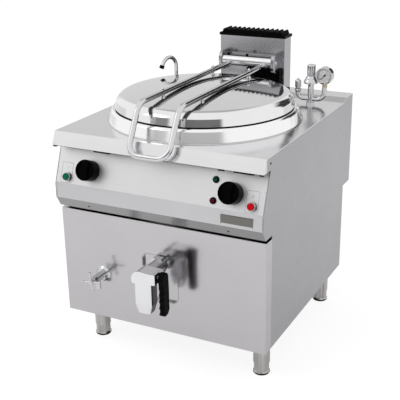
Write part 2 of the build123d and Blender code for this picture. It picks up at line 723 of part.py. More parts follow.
neck_r, neck_arc, neck_z, neck_turn = 7.5, 40.0, 964.0, math.radians(255)
reach_dir = Vector(math.cos(neck_turn), math.sin(neck_turn), 0)
neck_foot = Vector(spout_x, spout_y, 900.4)
neck_top = Vector(spout_x, spout_y, neck_z)
arc_mid = neck_top + reach_dir * neck_arc + Vector(0, 0, neck_arc)
arc_angle = math.radians(150)
arc_reach, arc_rise = neck_arc * (1 - math.cos(arc_angle)), neck_arc * math.sin(arc_angle)
arc_end = neck_top + reach_dir * arc_reach + Vector(0, 0, arc_rise)
drop_dir = reach_dir * math.sin(arc_angle) + Vector(0, 0, math.cos(arc_angle))
with BuildPart() as water_spout:
    with BuildLine() as neck_path:
        Line(neck_foot, neck_top)
        ThreePointArc(neck_top, arc_mid, arc_end)
        Line(arc_end, arc_end + drop_dir * 8)
    with BuildSketch(Plane(origin=neck_foot, z_dir=(0, 0, 1))):
        Circle(neck_r)
    sweep(path=neck_path.line)
    with BuildSketch(Plane.XY.offset(900.4)):
        with Locations((spout_x, spout_y)):
            Circle(13)
    extrude(amount=10)
    with BuildSketch(Plane.XY.offset(901)):
        with Locations((spout_x, spout_y)):
            Circle(6)
    extrude(amount=-20)
save(water_spout, "water_spout")

with BuildPart() as spout_aerator:
    with BuildSketch(Plane(origin=arc_end + drop_dir * 8, z_dir=drop_dir)):
        Circle(9.5)
    extrude(amount=11)
    with BuildSketch(Plane(origin=arc_end + drop_dir * 19, z_dir=drop_dir)):
        Circle(7)
    extrude(amount=-4, mode=Mode.SUBTRACT)
save(spout_aerator, "spout_aerator")

# ---- controls on the fascia ----
grip_offset = 37.0       # centres of the finger hollows that leave the grip
for name, knob_x in zip(("left_knob", "right_knob"), knob_xs):
    with BuildPart() as knob:
        with BuildSketch(on_fascia(knob_x, knob_s, 0.4)):
            Circle(knob_r)
        extrude(amount=knob_depth - 0.4)
        fillet(knob.faces().sort_by(Axis.Y)[0].edges(), 3)
        with BuildSketch(on_fascia(knob_x, knob_s, knob_depth - 9)):
            with Locations((-grip_offset, 0), (grip_offset, 0)):
                Ellipse(27, 48)
            Circle(knob_r - 4, mode=Mode.INTERSECT)
        extrude(amount=20, mode=Mode.SUBTRACT)
        with BuildSketch(on_fascia(knob_x, knob_s, 0.4)):
            Circle(4)
        extrude(amount=-26)
    save(knob, name)

block_back = 42.0        # depth of the blocks behind the fascia
for name, knob_x, block_half in (("thermostat", knob_xs[0], 22), ("gas_valve", knob_xs[1], 28)):
    with BuildPart() as block:
        with BuildSketch(on_fascia(knob_x, knob_s, -2)):
            Rectangle(2 * block_half, 2 * block_half)
        extrude(amount=2 - block_back)
        fillet(block.edges().filter_by(GeomType.LINE).group_by(Axis.Y)[-1], 4)
        with BuildSketch(on_fascia(knob_x, knob_s, -2)):
            Circle(4 + running)
        extrude(amount=-26, mode=Mode.SUBTRACT)
    save(block, name)

for colour, button_x in zip(("green", "red"), button_xs):
    with BuildPart() as bezel:
        with BuildSketch(on_fascia(button_x, button_s)):
            Circle(14.5)
        extrude(amount=12)
        fillet(bezel.faces().sort_by(Axis.Y)[0].edges(), 1)
        with BuildSketch(on_fascia(button_x, button_s)):
            Circle(15.5)
        extrude(amount=7)
        with BuildSketch(on_fascia(button_x, button_s, -32)):
            Circle(10.8)
        extrude(amount=32)
        with BuildSketch(on_fascia(button_x, button_s, 2)):
            Circle(12.4)
        extrude(amount=20, mode=Mode.SUBTRACT)
        with BuildSketch(on_fascia(button_x, button_s, -20)):
            Circle(4.4)
        extrude(amount=24, mode=Mode.SUBTRACT)
    save(bezel, f"{colour}_button_bezel")
    with BuildPart() as button:
        with BuildSketch(on_fascia(button_x, button_s, 7)):
            Circle(12)
        extrude(amount=10.5)
        fillet(button.faces().sort_by(Axis.Y)[0].edges(), 2.5)
        with BuildSketch(on_fascia(button_x, button_s, 7)):
            Circle(4)
        extrude(amount=-20)
    save(button, f"{colour}_button")

with BuildPart() as lamp_holders:
    for along in lamp_s:
        with BuildSketch(on_fascia(lamp_x, along)):
            Circle(12)
        extrude(amount=5, taper=15)
        with BuildSketch(on_fascia(lamp_x, along, -20)):
            Circle(7.8)
        extrude(amount=20)
        with BuildSketch(on_fascia(lamp_x, along, 3)):
            Circle(7.5)
        extrude(amount=5, mode=Mode.SUBTRACT)
save(lamp_holders, "lamp_holders")

for name, along in zip(("red_lamp", "green_lamp"), lamp_s):
    with BuildPart() as lens:
        with BuildSketch(on_fascia(lamp_x, along, 3)):
            Circle(7.5)
        extrude(amount=5)
        fillet(lens.faces().sort_by(Axis.Y)[0].edges(), 3)
    save(lens, f"{name}_lens")

# ---- pipes at the back ----
pipe_x = 377.0
valve_rear = on_fascia(knob_xs[1], knob_s, -block_back)
with BuildPart() as gas_pipe:
    with BuildLine() as gas_path:
        FilletPolyline((gas_x, inlet_end, inlet_z), (gas_x, 395, inlet_z), (pipe_x, 350, inlet_z),
                       (pipe_x, -270, inlet_z), (pipe_x, -270, 640),
                       valve_rear.origin - valve_rear.z_dir * 60, valve_rear.origin, radius=30)
    with BuildSketch(Plane(origin=(gas_x, inlet_end, inlet_z), z_dir=(0, -1, 0))):
        Circle(11)
    sweep(path=gas_path.line)
    with BuildSketch(facing_front(gas_x, inlet_end, inlet_z)):
        Circle(13.2)
    extrude(amount=inlet_end - rear_recess - 2)
save(gas_pipe, "gas_pipe")

mixer_x, mixer_y = sum(inlet_xs) / 2, 380.0
with BuildPart() as water_pipes:
    with BuildSketch(facing_front(0, inlet_end, inlet_z)):
        with Locations(*[(inlet_x, 0) for inlet_x in inlet_xs]):
            Circle(9)
    extrude(amount=inlet_end - mixer_y)
    with BuildSketch(facing_front(0, inlet_end, inlet_z)):
        with Locations(*[(inlet_x, 0) for inlet_x in inlet_xs]):
            Circle(10.4)
    extrude(amount=inlet_end - rear_recess - 2)
    with BuildSketch(Plane.XY.offset(inlet_z - 14)):
        with Locations((mixer_x, mixer_y)):
            Rectangle(80, 28)
    extrude(amount=46)
    with BuildLine() as riser_path:
        FilletPolyline((mixer_x, mixer_y, 262), (mixer_x, mixer_y, 760),
                       (spout_x, spout_y, 790), (spout_x, spout_y, worktop_z - 15), radius=20)
    with BuildSketch(Plane(origin=(mixer_x, mixer_y, 262), z_dir=(0, 0, 1))):
        Circle(7)
    sweep(path=riser_path.line)
save(water_pipes, "water_pipes")

# ---- legs ----
feet = {"front_left": (-leg_x, leg_front_y), "front_right": (leg_x, leg_front_y),
        "rear_left": (-leg_x, leg_rear_y), "rear_right": (leg_x, leg_rear_y)}
thread_r = 10.0
with BuildPart() as leg_tubes:
    with BuildSketch(Plane.XY.offset(leg_low)):
        with Locations(*feet.values()):
            Circle(leg_r)
            Circle(leg_r - 2, mode=Mode.SUBTRACT)
    extrude(amount=panel_low - leg_low)
    with BuildSketch(Plane.XY.offset(leg_low)):
        with Locations(*feet.values()):
            Circle(leg_r - 2)
            Circle(thread_r + running, mode=Mode.SUBTRACT)
    extrude(amount=3)
    with BuildSketch(Plane.XY.offset(leg_low)):
        with Locations(*feet.values()):
            Circle(16)
            Circle(thread_r + running, mode=Mode.SUBTRACT)
    extrude(amount=14)
save(leg_tubes, "leg_tubes")

for where, (foot_x, foot_y) in feet.items():
    with BuildPart() as foot:
        with BuildSketch(facing_front(foot_x, foot_y, 0)):
            with BuildLine():
                Polyline((0, 0), (28, 0), (28, 4), (30.5, 4), (30.5, 8), (27.5, 13), (27.5, leg_low - 1),
                         (thread_r, leg_low - 1), (thread_r, 85), (0, 85), close=True)
            make_face()
        revolve(axis=Axis((foot_x, foot_y, 0), (0, 0, 1)))
    save(foot, f"foot_{where}")
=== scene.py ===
import math

import bmesh
import bpy
from mathutils import Matrix, Vector


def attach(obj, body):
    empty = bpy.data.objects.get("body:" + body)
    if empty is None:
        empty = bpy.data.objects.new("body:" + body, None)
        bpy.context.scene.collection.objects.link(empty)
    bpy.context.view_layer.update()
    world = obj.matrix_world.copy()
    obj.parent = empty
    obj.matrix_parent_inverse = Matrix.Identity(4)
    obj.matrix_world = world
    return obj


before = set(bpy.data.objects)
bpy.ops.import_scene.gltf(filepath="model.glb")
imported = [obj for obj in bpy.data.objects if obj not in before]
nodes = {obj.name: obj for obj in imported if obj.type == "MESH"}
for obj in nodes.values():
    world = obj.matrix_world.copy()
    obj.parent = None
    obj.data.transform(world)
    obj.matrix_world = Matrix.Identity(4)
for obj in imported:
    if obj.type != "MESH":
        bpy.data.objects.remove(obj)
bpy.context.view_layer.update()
print("frame loaded")


def newObject(name, mesh, body, finish, smooth=True):
    obj = bpy.data.objects.new(name, mesh)
    bpy.context.scene.collection.objects.link(obj)
    mesh.materials.append(finishes[finish])
    if smooth:
        mesh.shade_smooth()
    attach(obj, body)
    return obj


def meshFrom(name, build):
    bm = bmesh.new()
    build(bm)
    bmesh.ops.recalc_face_normals(bm, faces=bm.faces)
    mesh = bpy.data.meshes.new(name)
    bm.to_mesh(mesh)
    bm.free()
    return mesh


def addPiece(name, build, body, finish, smooth=True):
    return newObject(name, meshFrom(name, build), body, finish, smooth)


def lathe(bm, profile, place, steps, closed=False):
    # profile: (radius, height) pairs turned round the z axis of place
    rings = []
    for radius, height in profile:
        if radius < 1e-6:
            rings.append([bm.verts.new(place @ Vector((0, 0, height)))])
            continue
        turns = (2 * math.pi * k / steps for k in range(steps))
        rings.append([bm.verts.new(place @ Vector((radius * math.cos(t), radius * math.sin(t), height)))
                      for t in turns])
    pairs = list(zip(rings, rings[1:])) + ([(rings[-1], rings[0])] if closed else [])
    for low, high in pairs:
        for k in range(steps):
            n = (k + 1) % steps
            if len(low) == 1:
                bm.faces.new((low[0], high[k], high[n]))
            elif len(high) == 1:
                bm.faces.new((low[k], low[n], high[0]))
            else:
                bm.faces.new((low[k], low[n], high[n], high[k]))


def joinRings(bm, rings, closed):
    count = len(rings[0])
    for low, high in list(zip(rings, rings[1:])) + ([(rings[-1], rings[0])] if closed else []):
        for k in range(count):
            n = (k + 1) % count
            bm.faces.new((low[k], low[n], high[n], high[k]))
    if not closed:
        bm.faces.new(rings[0])
        bm.faces.new(rings[-1])


def ribbon(bm, points, wide, thick, place, closed=False):
    # a flat printed or engraved line along points, in the plane of place
    leastMitre = 0.4  # keeps sharp corners from running out
    count = len(points)
    rings = []
    for k, point in enumerate(points):
        here = Vector(point)
        before = Vector(points[k - 1]) if closed or k else None
        after = Vector(points[(k + 1) % count]) if closed or k < count - 1 else None
        first = (here - before).normalized() if before else (after - here).normalized()
        second = (after - here).normalized() if after else first
        along = (first + second).normalized()
        across = Vector((-along.y, along.x)) * wide / 2 / max(leastMitre, along.dot(first))
        rings.append([bm.verts.new(place @ Vector((*(here + across * side), lift)))
                      for side, lift in ((1, 0), (-1, 0), (-1, thick), (1, thick))])
    joinRings(bm, rings, closed)


def rod(bm, points, radius, closed=False, steps=6):
    # a round bar or weld bead along a path
    count = len(points)
    rings = []
    side = None
    for k, point in enumerate(points):
        before = points[k - 1] if closed or k else point
        after = points[(k + 1) % count] if closed or k < count - 1 else point
        along = (Vector(after) - Vector(before)).normalized()
        if side is None:
            side = along.orthogonal().normalized()
        side = (side - along * side.dot(along)).normalized()
        other = along.cross(side)
        rings.append([bm.verts.new(Vector(point) + (side * math.cos(t) + other * math.sin(t)) * radius)
                      for t in (2 * math.pi * j / steps for j in range(steps))])
    joinRings(bm, rings, closed)


def roundedOutline(halfWide, halfHigh, corner, steps=5):
    points = []
    for sx, sy, start in ((1, 1, 0), (-1, 1, 90), (-1, -1, 180), (1, -1, 270)):
        for k in range(steps + 1):
            t = math.radians(start + 90 * k / steps)
            points.append((sx * (halfWide - corner) + corner * math.cos(t),
                           sy * (halfHigh - corner) + corner * math.sin(t)))
    return points


def arcPoints(radius, start, stop, steps):
    turns = (math.radians(start + (stop - start) * k / steps) for k in range(steps + 1))
    return [(radius * math.cos(t), radius * math.sin(t)) for t in turns]


def platePrism(bm, halfWide, halfHigh, corner, layers, place):
    # layers: (inset, height) pairs from the back edge to the middle of the face
    leastCorner = corner * 0.3
    rings = []
    for inset, height in layers:
        shape = roundedOutline(halfWide - inset, halfHigh - inset, max(corner - inset, leastCorner))
        rings.append([bm.verts.new(place @ Vector((x, y, height))) for x, y in shape])
    joinRings(bm, rings, False)


# a domed head as shares of its radius and height, above the part sunk in the sheet
headSet = {"sunk": 0.0002, "dome": ((1, 0.45), (0.82, 0.85), (0.45, 1), (0, 1)), "steps": 20}


def screwHead(bm, place, radius, height):
    foot = [(0, -headSet["sunk"]), (radius, -headSet["sunk"])]
    lathe(bm, foot + [(radius * r, height * h) for r, h in headSet["dome"]], place, headSet["steps"])


def frameMatrix(side, up, out, spot):
    # side, up and out become the local x, y and z
    return Matrix((*((side[k], up[k], out[k], spot[k]) for k in range(3)), (0, 0, 0, 1)))


def axisMatrix(spot, out):
    # local z along out, local y as near to upright as it goes
    out = Vector(out).normalized()
    upright = Vector((0, 0, 1)) if abs(out.z) < 0.95 else Vector((0, 1, 0))
    side = upright.cross(out).normalized()
    return frameMatrix(side, out.cross(side), out, spot)


# the sloping control panel and the upright band under it, which leans a little
fascia = {"tilt": 21.0, "kneeY": -0.392, "kneeZ": 0.668, "bandIn": 0.003, "bandHigh": 0.057}
tilt = math.radians(fascia["tilt"])
fasciaOut = Vector((0, -math.cos(tilt), math.sin(tilt)))
fasciaUp = Vector((0, math.sin(tilt), math.cos(tilt)))


def onFascia(x, along):
    return Vector((x, fascia["kneeY"], fascia["kneeZ"])) + fasciaUp * along


def fasciaMatrix(x, along):
    return frameMatrix(Vector((1, 0, 0)), fasciaUp, fasciaOut, onFascia(x, along))


def bandMatrix(x, z):
    # on the band below the sloping part
    lean = math.atan2(fascia["bandIn"], fascia["bandHigh"])
    depth = (fascia["kneeZ"] - z) * fascia["bandIn"] / fascia["bandHigh"]
    return axisMatrix((x, fascia["kneeY"] - depth, z), (0, -math.cos(lean), math.sin(-lean)))


def startGroup(name, inputs, outputs):
    group = bpy.data.node_groups.new(name, "ShaderNodeTree")
    for label, kind, default in inputs:
        socket = group.interface.new_socket(name=label, in_out="INPUT", socket_type=kind)
        socket.default_value = default
    for label, kind in outputs:
        group.interface.new_socket(name=label, in_out="OUTPUT", socket_type=kind)
    return group, group.nodes.new("NodeGroupInput"), group.nodes.new("NodeGroupOutput")


def mathNode(tree, operation, first, second, third=None):
    node = tree.nodes.new("ShaderNodeMath")
    node.operation = operation
    for slot, value in enumerate((first, second, third)):
        if value is None:
            continue
        if isinstance(value, (int, float)):
            node.inputs[slot].default_value = value
        else:
            tree.links.new(value, node.inputs[slot])
    return node.outputs[0]


def noiseNode(tree, vector, scale, detail, roughness):
    node = tree.nodes.new("ShaderNodeTexNoise")
    node.inputs["Scale"].default_value = scale
    node.inputs["Detail"].default_value = detail
    node.inputs["Roughness"].default_value = roughness
    tree.links.new(vector, node.inputs["Vector"])
    return node.outputs["Fac"]


def spread(tree, value, low, high):
    # stretches the middle of a noise over its whole range
    node = tree.nodes.new("ShaderNodeMapRange")
    node.inputs["From Min"].default_value = low
    node.inputs["From Max"].default_value = high
    tree.links.new(value, node.inputs["Value"])
    return node.outputs[0]


# noise behind the grain: scale, detail, roughness, then the part of its range that is kept
grainSet = {"line": (1.0, 5.0, 0.65, 0.28, 0.72), "cloud": (5.5, 3.0, 0.55, 0.3, 0.7),
            "cloudInRough": 0.6}
skinSet = {"fleckDetail": 2.0, "fleckLow": 0.3, "fleckHigh": 0.7, "touch": (38.0, 4.0, 0.6, 0.35, 0.7)}


def sendTone(group, given, gain, out):
    # the tone, lighter or darker by gain
    scale = group.nodes.new("ShaderNodeVectorMath")
    scale.operation = "SCALE"
    group.links.new(given.outputs["Tone"], scale.inputs[0])
    group.links.new(gain, scale.inputs["Scale"])
    group.links.new(scale.outputs[0], out.inputs["Color"])


def sendRoughness(group, given, share, out):
    gap = mathNode(group, "SUBTRACT", given.outputs["Rough"], given.outputs["Smooth"])
    rough = mathNode(group, "MULTIPLY_ADD", share, gap, given.outputs["Smooth"])
    group.links.new(rough, out.inputs["Roughness"])


def spreadNoise(tree, vector, scale, detail, roughness, low, high):
    return spread(tree, noiseNode(tree, vector, scale, detail, roughness), low, high)


def buildBrushedGrain():
    group, given, out = startGroup(
        "brushedGrain",
        [("Tone", "NodeSocketColor", (0.7, 0.7, 0.7, 1)),
         ("Grain Size", "NodeSocketVector", (4, 400, 400)),
         ("Grain Depth", "NodeSocketFloat", 0.06), ("Cloud Depth", "NodeSocketFloat", 0.05),
         ("Smooth", "NodeSocketFloat", 0.2), ("Rough", "NodeSocketFloat", 0.32)],
        [("Color", "NodeSocketColor"), ("Roughness", "NodeSocketFloat"), ("Height", "NodeSocketFloat")])
    place = group.nodes.new("ShaderNodeTexCoord").outputs["Object"]
    stretch = group.nodes.new("ShaderNodeVectorMath")
    stretch.operation = "MULTIPLY"
    group.links.new(place, stretch.inputs[0])
    group.links.new(given.outputs["Grain Size"], stretch.inputs[1])
    grain = spreadNoise(group, stretch.outputs[0], *grainSet["line"])
    cloud = spreadNoise(group, place, *grainSet["cloud"])
    darker = mathNode(group, "ADD", mathNode(group, "MULTIPLY", grain, given.outputs["Grain Depth"]),
                      mathNode(group, "MULTIPLY", cloud, given.outputs["Cloud Depth"]))
    sendTone(group, given, mathNode(group, "SUBTRACT", 1.0, darker), out)
    mixed = mathNode(group, "MULTIPLY_ADD", cloud, grainSet["cloudInRough"],
                     mathNode(group, "MULTIPLY", grain, 1 - grainSet["cloudInRough"]))
    sendRoughness(group, given, mixed, out)
    group.links.new(grain, out.inputs["Height"])
    return group


def buildMouldedSkin():
    group, given, out = startGroup(
        "mouldedSkin",
        [("Tone", "NodeSocketColor", (0.02, 0.02, 0.02, 1)), ("Fleck Size", "NodeSocketFloat", 900.0),
         ("Smooth", "NodeSocketFloat", 0.3), ("Rough", "NodeSocketFloat", 0.5),
         ("Fade", "NodeSocketFloat", 0.2)],
        [("Color", "NodeSocketColor"), ("Roughness", "NodeSocketFloat"), ("Height", "NodeSocketFloat")])
    place = group.nodes.new("ShaderNodeTexCoord").outputs["Object"]
    fleck = group.nodes.new("ShaderNodeTexNoise")
    fleck.inputs["Detail"].default_value = skinSet["fleckDetail"]
    group.links.new(place, fleck.inputs["Vector"])
    group.links.new(given.outputs["Fleck Size"], fleck.inputs["Scale"])
    fine = spread(group, fleck.outputs["Fac"], skinSet["fleckLow"], skinSet["fleckHigh"])
    touch = spreadNoise(group, place, *skinSet["touch"])
    sendTone(group, given, mathNode(group, "MULTIPLY_ADD", touch, given.outputs["Fade"], 1.0), out)
    sendRoughness(group, given, touch, out)
    group.links.new(fine, out.inputs["Height"])
    return group


brushedGrain = buildBrushedGrain()
mouldedSkin = buildMouldedSkin()


def dressed(name, group, settings, bump, bumpReach, **shaderValues):
    # a material whose colour, roughness and relief come from one of the groups
    material = bpy.data.materials.new(name)
    material.use_nodes = True
    tree = material.node_tree
    shader = tree.nodes["Principled BSDF"]
    effect = tree.nodes.new("ShaderNodeGroup")
    effect.node_tree = group
    for label, value in settings.items():
        effect.inputs[label].default_value = (*value, 1) if label == "Tone" else value
    tree.links.new(effect.outputs["Color"], shader.inputs["Base Color"])
    tree.links.new(effect.outputs["Roughness"], shader.inputs["Roughness"])
    relief = tree.nodes.new("ShaderNodeBump")
    relief.inputs["Strength"].default_value = bump
    relief.inputs["Distance"].default_value = bumpReach
    tree.links.new(effect.outputs["Height"], relief.inputs["Height"])
    tree.links.new(relief.outputs["Normal"], shader.inputs["Normal"])
    for label, value in shaderValues.items():
        shader.inputs[label.replace("_", " ")].default_value = value
    return material


reliefSet = {"steel": 0.0002, "plastic": 0.0001}  # how deep the relief goes, in metres


def steel(name, tone, grain, depth, cloud, smooth, rough, bump=0.025):
    return dressed(name, brushedGrain,
                   {"Tone": tone, "Grain Size": grain, "Grain Depth": depth, "Cloud Depth": cloud,
                    "Smooth": smooth, "Rough": rough}, bump, reliefSet["steel"], Metallic=1.0)


def plastic(name, tone, fleck, smooth, rough, fade, specular, bump=0.1, **shaderValues):
    return dressed(name, mouldedSkin,
                   {"Tone": tone, "Fleck Size": fleck, "Smooth": smooth, "Rough": rough, "Fade": fade},
                   bump, reliefSet["plastic"], Specular_IOR_Level=specular, **shaderValues)


alongX, alongY, alongZ = (5, 420, 420), (420, 5, 420), (420, 420, 5)
# tone, grain size along x, y and z, depth of grain and of clouds, least and most roughness, relief
steelSet = {
    "worktopSteel": ((0.79, 0.78, 0.79), alongX, 0.04, 0.03, 0.14, 0.22),
    "fasciaSteel": ((0.865, 0.86, 0.87), alongX, 0.025, 0.02, 0.40, 0.48, 0.012),
    # bandPaintedShade: the upright band of the same sheet, darker than its sloping part: painted shade
    "bandPaintedShade": ((0.60, 0.595, 0.61), alongX, 0.03, 0.02, 0.3, 0.38, 0.012),
    "panelSteel": ((0.555, 0.54, 0.555), alongX, 0.04, 0.03, 0.14, 0.2),
    "sideSteel": ((0.415, 0.407, 0.43), alongY, 0.03, 0.02, 0.24, 0.3, 0.01),
    "rearSteel": ((0.50, 0.50, 0.51), alongX, 0.05, 0.05, 0.3, 0.42),
    "vesselSteel": ((0.66, 0.66, 0.67), alongZ, 0.05, 0.05, 0.2, 0.32),
    "rimSteel": ((0.93, 0.93, 0.94), (60, 60, 600), 0.03, 0.03, 0.11, 0.17),
    "lidSteel": ((0.84, 0.84, 0.85), (30, 30, 30), 0.02, 0.04, 0.05, 0.09),
    "tubeSteel": ((0.68, 0.68, 0.69), (300, 20, 300), 0.03, 0.04, 0.06, 0.12),
    # painted shade: a dark steel laid on faces where shade and dark reflections fall
    "paintedShade": ((0.11, 0.10, 0.10), (300, 20, 300), 0.03, 0.04, 0.1, 0.2),
    "barrelSteel": ((0.80, 0.80, 0.81), (20, 400, 400), 0.04, 0.04, 0.12, 0.22),
    "chimneySteel": ((0.46, 0.455, 0.475), alongZ, 0.05, 0.04, 0.16, 0.26),
    "legSteel": ((0.66, 0.64, 0.63), (70, 70, 2), 0.5, 0.12, 0.14, 0.22),
    "chrome": ((0.62, 0.62, 0.635), (40, 40, 40), 0.01, 0.03, 0.03, 0.08, 0.02),
    "valveChrome": ((0.80, 0.80, 0.82), (40, 40, 40), 0.02, 0.03, 0.06, 0.12, 0.02),
    # chinPaintedShade: the fascia's downward chin, darker than the rest of the same sheet: painted shade
    "chinPaintedShade": ((0.34, 0.335, 0.34), alongX, 0.04, 0.03, 0.12, 0.2),
    "brass": ((0.50, 0.42, 0.30), (200, 200, 200), 0.08, 0.12, 0.2, 0.34),
    "plateSteel": ((0.60, 0.60, 0.60), alongX, 0.05, 0.05, 0.2, 0.3),
    "castBlock": ((0.45, 0.45, 0.45), (150, 150, 150), 0.1, 0.1, 0.4, 0.6, 0.2),
    "burnerIron": ((0.16, 0.15, 0.14), (120, 120, 120), 0.2, 0.25, 0.5, 0.75, 0.3),
    "zincSheet": ((0.45, 0.46, 0.48), (60, 60, 60), 0.12, 0.15, 0.35, 0.5),
    "plateGrey": ((0.20, 0.195, 0.18), alongX, 0.08, 0.05, 0.3, 0.42),
}
# tone, fleck size, least and most roughness, fading of the tone, specular level
plasticSet = {
    "blackPlastic": ((0.0012, 0.0012, 0.0012), 1200.0, 0.12, 0.22, 0.25, 0.02),
    "gripBlack": ((0.0012, 0.0012, 0.0012), 900.0, 0.35, 0.5, 0.25, 0.04),
    "blackPaint": ((0.0015, 0.0015, 0.0015), 700.0, 0.35, 0.5, 0.25, 0.04),
    # rubberAndPaintedShade: black for the rubber feet, plugs, the lid seal and the holes in the valve's
    # cone, and for the painted shadow under the worktop's edge
    "rubberAndPaintedShade": ((0.004, 0.004, 0.004), 500.0, 0.55, 0.75, 0.25, 0.05),
    "darkLine": ((0.16, 0.16, 0.17), 900.0, 0.4, 0.6, 0.25, 0.5),
    "greenCap": ((0.0, 0.09, 0.042), 900.0, 0.18, 0.3, 0.3, 0.1),
    "redCap": ((0.42, 0.0, 0.007), 900.0, 0.18, 0.3, 0.3, 0.1),
    "greenLens": ((0.0, 0.04, 0.026), 900.0, 0.1, 0.2, 0.3, 0.12),
    "redLens": ((0.07, 0.0, 0.004), 900.0, 0.1, 0.2, 0.3, 0.12),
    "dialWhite": ((0.93, 0.93, 0.91), 900.0, 0.4, 0.55, 0.05, 0.5),
}
glassSet = ((1.0, 1.0, 1.0), 300.0, 0.02, 0.05, 0.0, 0.5, 0.0)  # the last one: no relief
finishes = {name: steel(name, *values) for name, values in steelSet.items()}
finishes.update({name: plastic(name, *values) for name, values in plasticSet.items()})
finishes["clearGlass"] = plastic("clearGlass", *glassSet, Transmission_Weight=1.0, IOR=1.45)
print("materials made", len(finishes))

footNodes = ("foot_front_left", "foot_front_right", "foot_rear_left", "foot_rear_right")
nodeFinish = {
    "worktopSteel": ("worktop",),
    "fasciaSteel": ("control_fascia",),
    "panelSteel": ("front_panel", "drain_plate"),
    "sideSteel": ("side_panel_left", "side_panel_right"),
    "rearSteel": ("rear_panel",),
    "vesselSteel": ("inner_vessel", "vessel_floor"),
    "rimSteel": ("rim_ring",),
    "lidSteel": ("lid_shell",),
    "tubeSteel": ("lid_frame", "lid_bolts"),
    "barrelSteel": ("hinge_barrel", "hinge_shaft"),
    "chimneySteel": ("chimney", "hinge_cheeks"),
    "legSteel": ("leg_tubes", *footNodes),
    "valveChrome": ("drain_body",),
    "chrome": ("drain_nut", "drain_spindle", "level_tap", "tap_cross", "group_manifold",
               "safety_valve", "vacuum_valve", "water_spout", "spout_pillar", "gauge_case"),
    "plateSteel": ("drain_pipe", "green_button_bezel", "red_button_bezel"),
    "brass": ("gauge_nut",),
    "zincSheet": ("base_tray", "steam_jacket", "combustion_chamber", "flue_duct", "gas_pipe",
                  "water_pipes"),
    "burnerIron": ("burner",),
    "castBlock": ("thermostat", "gas_valve"),
    "blackPaint": ("flue_grate", "hinge_box", "gauge_needle"),
    "blackPlastic": ("left_knob", "right_knob", "spout_aerator", "lamp_holders"),
    "gripBlack": ("drain_handle",),
    "greenCap": ("green_button",),
    "redCap": ("red_button",),
    "greenLens": ("green_lamp_lens",),
    "redLens": ("red_lamp_lens",),
    "dialWhite": ("gauge_dial",),
    "clearGlass": ("gauge_glass",),
}
for finishName, names in nodeFinish.items():
    for name in names:
        mesh = nodes[name].data
        mesh.materials.clear()
        mesh.materials.append(finishes[finishName])
print("nodes dressed", sum(len(names) for names in nodeFinish.values()), "of", len(nodes))


def paintFaces(nodeName, finishName, chosen):
    # another finish, or painted shade, for some faces of a node; chosen gets a face's centre and normal
    mesh = nodes[nodeName].data
    mesh.materials.append(finishes[finishName])
    slot = len(mesh.materials) - 1
    place = nodes[nodeName].matrix_world
    turn = place.to_3x3()
    for face in mesh.polygons:
        if chosen(place @ face.center, turn @ face.normal):
            face.material_index = slot


def liftAboveFascia(spot):
    return (spot - onFascia(0, 0)).dot(fasciaOut)


# where one node's finish changes, or where painted shade goes on some of its faces: heights and parts of
# the faces' normals
split = {"bezelBase": 0.0069, "screwTop": 1.0017, "padTop": 0.0085,
         "chinFront": -0.5, "chinLean": -0.3, "bandFront": -0.9, "bandLean": 0.2,
         "valveOut": 0.9, "valveSide": 0.396, "chromeUnder": -0.35,
         "ribUpright": 0.2, "ribLow": 0.97, "ribTurn": 15,
         "barrelOver": 0.86, "barrelUnder": -0.5, "tubeUnder": -0.3, "tubeLow": 0.955}
chromedNodes = ("group_manifold", "water_spout", "safety_valve", "vacuum_valve", "level_tap", "drain_nut")


def isDarkRib(centre, normal):
    # painted shade on every other flute round the safety valve's cap
    if abs(normal.z) >= split["ribUpright"] or centre.z <= split["ribLow"]:
        return False
    return round(math.degrees(math.atan2(normal.y, normal.x)) / split["ribTurn"]) % 2 == 0


for bezel in ("green_button_bezel", "red_button_bezel"):
    paintFaces(bezel, "blackPlastic", lambda c, n: liftAboveFascia(c) < split["bezelBase"])
# painted shade on the barrel's top and underside, standing in for dark reflections
paintFaces("hinge_barrel", "paintedShade",
           lambda c, n: n.z > split["barrelOver"] or n.z < split["barrelUnder"])
paintFaces("hinge_barrel", "blackPaint", lambda c, n: c.z > split["screwTop"])
for foot in footNodes:
    paintFaces(foot, "rubberAndPaintedShade", lambda c, n: c.z < split["padTop"])
# painted shade on the fascia's chin, the faces turned down and forward
paintFaces("control_fascia", "chinPaintedShade",
           lambda c, n: n.y < split["chinFront"] and n.z < split["chinLean"])
# painted shade on the drain valve's right side below its axis
paintFaces("drain_body", "paintedShade", lambda c, n: n.x > split["valveOut"] and c.z < split["valveSide"])
# painted shade on the undersides of the lid's tubes
paintFaces("lid_frame", "paintedShade", lambda c, n: n.z < split["tubeUnder"] and c.z > split["tubeLow"])
# painted shade on the fascia's upright band
paintFaces("control_fascia", "bandPaintedShade",
           lambda c, n: n.y < split["bandFront"] and abs(n.z) < split["bandLean"])
# painted shade on the undersides of the chromed parts
for chromed in chromedNodes:
    paintFaces(chromed, "paintedShade", lambda c, n: n.z < split["chromeUnder"])
# painted shade on every other flute of the safety valve's cap
paintFaces("safety_valve", "paintedShade", isDarkRib)
print("faces painted")

# outlines, signs and ticks printed on the sloping panel; frames: across, along, half width and height;
# knobs: across, along and the turns of the ticks; ring: first and last turn, steps
printSet = {"line": 0.0009, "thick": 0.00012, "corner": 0.003,
            "frames": {"right": (0.3545, 0.0375, 0.0215, 0.0355),
                       "left": (-0.357, 0.0375, 0.022, 0.0355)},
            "ringX": 0.3545, "barX": -0.354, "signAlong": 0.0555, "signReach": 0.0032, "barWide": 1.2,
            "ring": (0, 350, 35),
            "tickStart": 0.0405, "tickEnd": 0.0435, "tickWide": 1.3,
            "knobs": {"left": (-0.261, 0.055, (230, 195, 160, 125, 90, 55, 20, -15, -50)),
                      "right": (0.284, 0.055, (102, 44, -20, -74, -125, 160))}}


